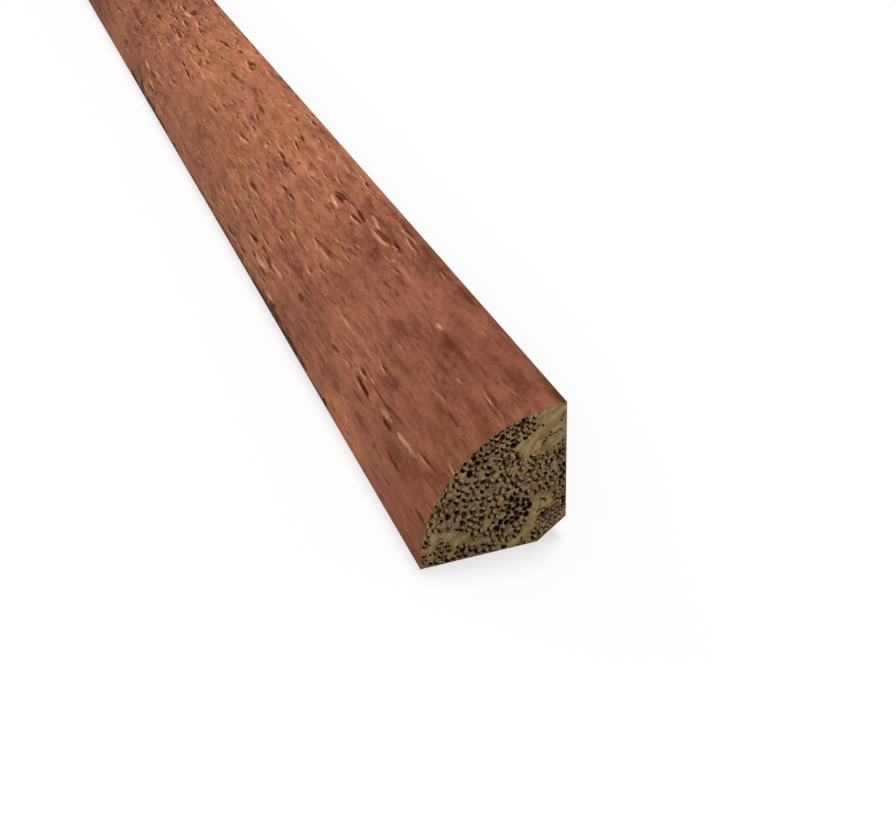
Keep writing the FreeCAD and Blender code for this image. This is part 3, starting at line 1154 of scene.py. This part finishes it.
TISSUE = [
    (0.15, 80, 56, 36),
    (0.4, 112, 90, 62),
    (0.6, 132, 109, 77),
    (0.85, 158, 136, 98),
]
GREY_TISSUE = (108, 90, 70)
PLAIN_TAN = [
    (0.15, 108, 86, 54),
    (0.5, 137, 116, 77),
    (0.85, 160, 140, 97),
]
BLOT = (68, 46, 30)
HEART = (154, 134, 101)
PORE_EDGE = (74, 42, 23)
PORE = (17, 7, 2)

# How far above a dash, in metres, its light lip takes its shape from; the lip is a painted highlight on the
# dash's toe side, partly stain gone thin from wear.
WIDE_LIP_SHIFT = 0.00044
NARROW_LIP_SHIFT = 0.00032
BLEED_REACH = 0.0016


def stained_bamboo():
    """The curved face: red-brown stain over scraped grain, dark with pooled stain and painted shade in its
    slits and dashes, light where the stain wore, with painted highlights on the toe side of the slits and
    dashes.
    """
    made = Recipe("stained_bamboo")
    where = made.streaks(0.45, 105, 3.0)
    scar = made.rise(made.total(made.carried("scarred"), made.centred(where, 3.0)), 0.15, 1.15)
    some = made.total(0.35, made.times(scar, 0.65))
    most = made.total(0.62, made.times(scar, 0.52))
    mottle = made.streaks(0.42, 250, 5.0, 0.62)
    blotches = made.streaks(0.4, 620, 2.0, 0.5, 0.3)
    relief = made.streaks(0.24, 430, 3.0, 0.5, 0.4)
    chips = made.streaks(0.3, 620, 2.0, 0.5, 0.3)
    grain = made.streaks(0.17, 880, 3.0, 0.58, 0.2)
    strands = made.streaks(0.035, 800, 2.0, 0.5)
    specks = made.streaks(0.42, 1800, 3.0, 0.6)
    value = made.total(
        0.33,
        made.times(made.carried("lightness"), 0.26),
        made.times(made.centred(mottle, 0.64), most),
        made.times(made.centred(blotches, 0.34), most),
        made.times(made.centred(relief, 0.5), some),
        made.times(made.centred(chips, 0.56), some),
        made.times(made.centred(grain, 0.44), some),
        made.times(made.centred(strands, 0.8), some),
        made.centred(specks, 0.4),
    )
    colour = made.ramp(value, STAIN)
    olive = made.rise(made.streaks(0.35, 120, 4.0), 0.5, 0.66)
    colour = made.tint(colour, made.times(made.times(olive, some), 0.3), OLIVE_CAST)
    pink = made.rise(made.streaks(0.3, 185, 4.0, 0.55, 0.4), 0.52, 0.68)
    colour = made.tint(colour, made.times(pink, 0.2), PINK_CAST)

    torn = made.total(made.centred(chips, 0.2), made.centred(grain, 0.14))

    def dash(scale, shift, low, high, share):
        """Dashes of one size, torn at the edges, moved by that shift towards the toe."""
        shape = made.noise(made.unrolled(0.12, shift), scale, 2.0, 0.5, 0.15)
        return made.times(made.rise(made.total(shape, torn), low, high), share)

    # Dark dashes: dents in the bump, darkened with pooled stain and painted shade.
    deep = dash(580, 0.0, 0.635, 0.75, scar)
    small = dash(960, 0.0, 0.615, 0.72, some)
    # Light lips on the toe side of the dashes: painted highlights, partly stain gone thin from wear.
    below_deep = dash(580, WIDE_LIP_SHIFT, 0.61, 0.735, scar)
    below_small = dash(960, NARROW_LIP_SHIFT, 0.61, 0.72, scar)
    dashes = made.larger(deep, small)
    clear = made.math("SUBTRACT", 1.0, made.math("MULTIPLY", dashes, 2.0, clamp=True))
    lips = made.times(made.larger(below_deep, below_small), clear)
    colour = made.tint(colour, made.times(lips, 0.92), DASH_LIP_WEAR_AND_HIGHLIGHT)
    colour = made.tint(colour, made.times(dashes, 0.96), DASH_STAIN_AND_SHADE)

    # Slit beds: pooled stain and painted shade.
    edge = made.total(made.carried("slit"), made.centred(grain, 1.5), made.centred(specks, 0.8))
    bed = made.times(made.rise(edge, 0.42, 0.8), made.carried("slit_dark"))
    colour = made.tint(colour, bed, SLIT_STAIN_AND_SHADE)
    ragged = made.total(made.centred(grain, 1.5), made.centred(mottle, 1.0), made.centred(chips, 1.6))
    toe = made.rise(made.total(made.carried("toe_stain"), ragged), 0.38, 0.85)
    colour = made.tint(colour, made.times(toe, 0.86), TOE_DARK)
    # Light lips and raised fibres: stain gone thin from wear, and on the toe side of the slits a painted
    # highlight.
    lip_breakup = made.total(made.centred(grain, 3.0), made.centred(specks, 2.6), made.centred(chips, 2.4))
    wear_and_highlight = made.rise(made.total(made.carried("lip"), lip_breakup), 0.25, 1.35)
    wear_and_highlight = made.times(wear_and_highlight, made.rise(made.carried("lip"), 0.05, 0.45))
    colour = made.tint(colour, made.times(wear_and_highlight, 0.78), WEAR_AND_HIGHLIGHT)
    bright = made.rise(made.total(made.carried("lip"), made.centred(specks, 1.2)), 0.95, 1.65)
    colour = made.tint(colour, made.times(bright, 0.75), BRIGHT_WEAR_AND_HIGHLIGHT)

    roughness = made.total(0.64, made.centred(grain, 0.25), made.times(bed, 0.2))
    height = made.total(
        made.times(made.centred(relief, 1.4), some),
        made.times(made.centred(chips, 1.05), some),
        made.times(made.centred(grain, 0.36), some),
        made.centred(specks, 0.12),
        made.times(deep, -0.36),
        made.times(small, -0.22),
        made.times(lips, 0.08),
    )
    return made.surface(colour, roughness, height, 0.0009, 0.006)


def raw_bamboo():
    """The sawn backs, with no stain but what ran over the edges."""
    made = Recipe("raw_bamboo")
    grain = made.streaks(0.06, 1500, 4.0, 0.6, 0.3)
    strands = made.streaks(0.02, 420, 3.0, 0.5)
    patches = made.streaks(0.25, 90, 3.0)
    value = made.total(0.5, made.centred(grain, 0.9), made.centred(strands, 0.9), made.centred(patches, 0.5))
    colour = made.ramp(value, RAW)
    x, _, z = made.node("ShaderNodeSeparateXYZ", {0: made.place()}).outputs
    toe, crest = -RADIUS / 2 * MM, RADIUS * MM
    bleed = made.larger(made.rise(x, toe + BLEED_REACH, toe), made.rise(z, crest - BLEED_REACH, crest))
    bleed = made.rise(made.total(bleed, made.centred(strands, 1.2), made.centred(grain, 0.8)), 0.45, 0.8)
    colour = made.tint(colour, made.times(bleed, 0.8), BLED_STAIN)
    saw = made.noise(made.place((0.08, 1.0, 0.08)), 1100)
    height = made.total(made.centred(grain, 1.0), made.centred(saw, 0.7))
    return made.surface(colour, 0.78, height, 0.00008, 0.25)


def end_grain():
    """The cut ends: tan tissue, light hearts and black pores of the bundles, strand by strand."""
    made = Recipe("end_grain")
    turned = made.node("ShaderNodeMapping", {"Vector": made.place(), "Rotation": (0, math.radians(42), 0)})
    inputs = {0: turned.outputs[0], 1: (0.28, 0.3, 1.0)}
    slanting = made.node("ShaderNodeVectorMath", inputs, operation="MULTIPLY")
    slants = made.noise(slanting.outputs[0], 1500, 3.0, 0.6, 0.3)
    mottle = made.streaks(0.3, 1300, 4.0, 0.6, 0.4)
    fine = made.streaks(0.3, 4200, 3.0, 0.6)
    value = made.total(0.5, made.centred(mottle, 1.7), made.centred(fine, 1.0), made.centred(slants, 0.8))
    tissue = made.ramp(value, TISSUE)
    grey = made.rise(made.streaks(0.3, 160), 0.45, 0.62)
    tissue = made.tint(tissue, made.times(grey, 0.3), GREY_TISSUE)
    blots = made.rise(made.streaks(0.3, 2100, 2.0, 0.5, 0.3), 0.56, 0.68)
    tissue = made.tint(tissue, made.times(blots, 0.55), BLOT)
    value = made.total(0.5, made.centred(mottle, 0.9), made.centred(fine, 0.6), made.centred(slants, 1.7))
    colour = made.mix(made.times(made.carried("plain"), 0.9), tissue, made.ramp(value, PLAIN_TAN))
    lit = made.rise(made.total(made.carried("heart"), made.centred(fine, 0.8)), 0.1, 0.7)
    colour = made.tint(colour, made.times(lit, 0.75), HEART)
    pore = made.total(made.carried("pore"), made.centred(fine, 0.9), made.centred(mottle, 0.4))
    colour = made.tint(colour, made.times(made.rise(pore, 0.02, 0.4), 0.78), PORE_EDGE)
    colour = made.tint(colour, made.rise(pore, 0.25, 0.72), PORE)
    height = made.total(made.centred(fine, 1.0), made.centred(mottle, 0.6))
    return made.surface(colour, 0.85, height, 0.00006, 0.03)


def make_stick():
    """The dressed stick, in place of the plain solid."""
    stick = make_object("milled_stick", gather_mesh())
    for material in (stained_bamboo(), raw_bamboo(), end_grain()):
        stick.data.materials.append(material)
    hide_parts("quarter_round")
    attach(stick, "root")
    return stick


WHITE = (1, 1, 1, 1)
WORLD_LEVEL = 0.42
FLOOR_SIZE = 30.0
FLOOR_COLOUR = 0.86
SHOWN_WHITE = 0.62  # how much of the floor's look is plain white near the stick
WHITE_FROM = (1.2, 2.4)  # metres from the middle over which the floor turns all white

# Soft square lamps: name, the end that it faces (0 near, 1 far), its place from there, its side, watts.
LAMPS = [
    ("key", 0, (0.7, 0.35, 2.5), 0.8, 45),
    ("front", 0, (-0.9, -2.2, 1.2), 1.5, 20),
    ("beyond", 1, (-0.9, 1.2, 1.4), 1.0, 10),
]


def make_floor():
    """A white floor that takes the stick's shadow and fades to white where the camera sees it."""
    data = bpy.data.meshes.new("floor")
    half = FLOOR_SIZE / 2
    corners = [(-half, -half, 0), (half, -half, 0), (half, half, 0), (-half, half, 0)]
    data.from_pydata(corners, [], [(0, 1, 2, 3)])
    floor = bpy.data.objects.new("floor", data)
    bpy.context.scene.collection.objects.link(floor)
    made = Recipe("white_floor")
    diffuse = made.node("ShaderNodeBsdfDiffuse", {"Color": (FLOOR_COLOUR, FLOOR_COLOUR, FLOOR_COLOUR, 1)})
    white = made.node("ShaderNodeEmission", {"Color": WHITE, "Strength": 1.0})
    away = made.node("ShaderNodeVectorMath", {0: made.place()}, operation="LENGTH").outputs["Value"]
    share = made.times(made.shown_ray(), made.larger(SHOWN_WHITE, made.rise(away, *WHITE_FROM)))
    mixed = made.node("ShaderNodeMixShader", {0: share, 1: diffuse.outputs[0], 2: white.outputs[0]})
    made.node("ShaderNodeOutputMaterial", {"Surface": mixed.outputs[0]})
    data.materials.append(made.owner)


def make_world():
    """Even light from all round, shown as plain white."""
    made = Recipe("studio", "worlds")
    inputs = {"Value": made.shown_ray(), "To Min": WORLD_LEVEL, "To Max": 1.0}
    level = made.node("ShaderNodeMapRange", inputs).outputs[0]
    background = made.node("ShaderNodeBackground", {"Color": WHITE, "Strength": level})
    made.node("ShaderNodeOutputWorld", {"Surface": background.outputs[0]})
    bpy.context.scene.world = made.owner


def make_lamp(name, end, offset, size, power):
    """A square soft lamp that faces an end of the stick."""
    target = Vector((0, (cad_low.y, cad_high.y)[end], 0))
    data = bpy.data.lights.new(name, "AREA")
    data.shape = "SQUARE"
    data.size = size
    data.energy = power
    lamp = bpy.data.objects.new(name, data)
    lamp.location = target + Vector(offset)
    lamp.rotation_mode = "QUATERNION"
    lamp.rotation_quaternion = (target - lamp.location).to_track_quat("-Z", "Y")
    bpy.context.scene.collection.objects.link(lamp)


def make_camera():
    """The photograph's camera."""
    turn, tilt, roll = (math.radians(a) for a in (CAMERA_TURN, CAMERA_TILT, CAMERA_ROLL))
    ahead = Vector((math.sin(turn) * math.cos(tilt), math.cos(turn) * math.cos(tilt), -math.sin(tilt)))
    level = Vector((math.cos(turn), -math.sin(turn), 0))
    above = level.cross(ahead)
    right = level * math.cos(roll) + above * math.sin(roll)
    up = above * math.cos(roll) - level * math.sin(roll)
    data = bpy.data.cameras.new("camera")
    data.sensor_width = SENSOR_WIDTH
    data.lens = SENSOR_WIDTH * FOCAL_SHARE
    data.clip_start = 0.005
    camera = bpy.data.objects.new("camera", data)
    camera.matrix_world = Matrix.Translation(CAMERA_PLACE) @ Matrix((right, up, -ahead)).transposed().to_4x4()
    bpy.context.scene.collection.objects.link(camera)
    bpy.context.scene.camera = camera


make_camera()
make_world()
for lamp in LAMPS:
    make_lamp(*lamp)
make_floor()
make_stick()

bpy.context.scene.view_settings.view_transform = "Standard"
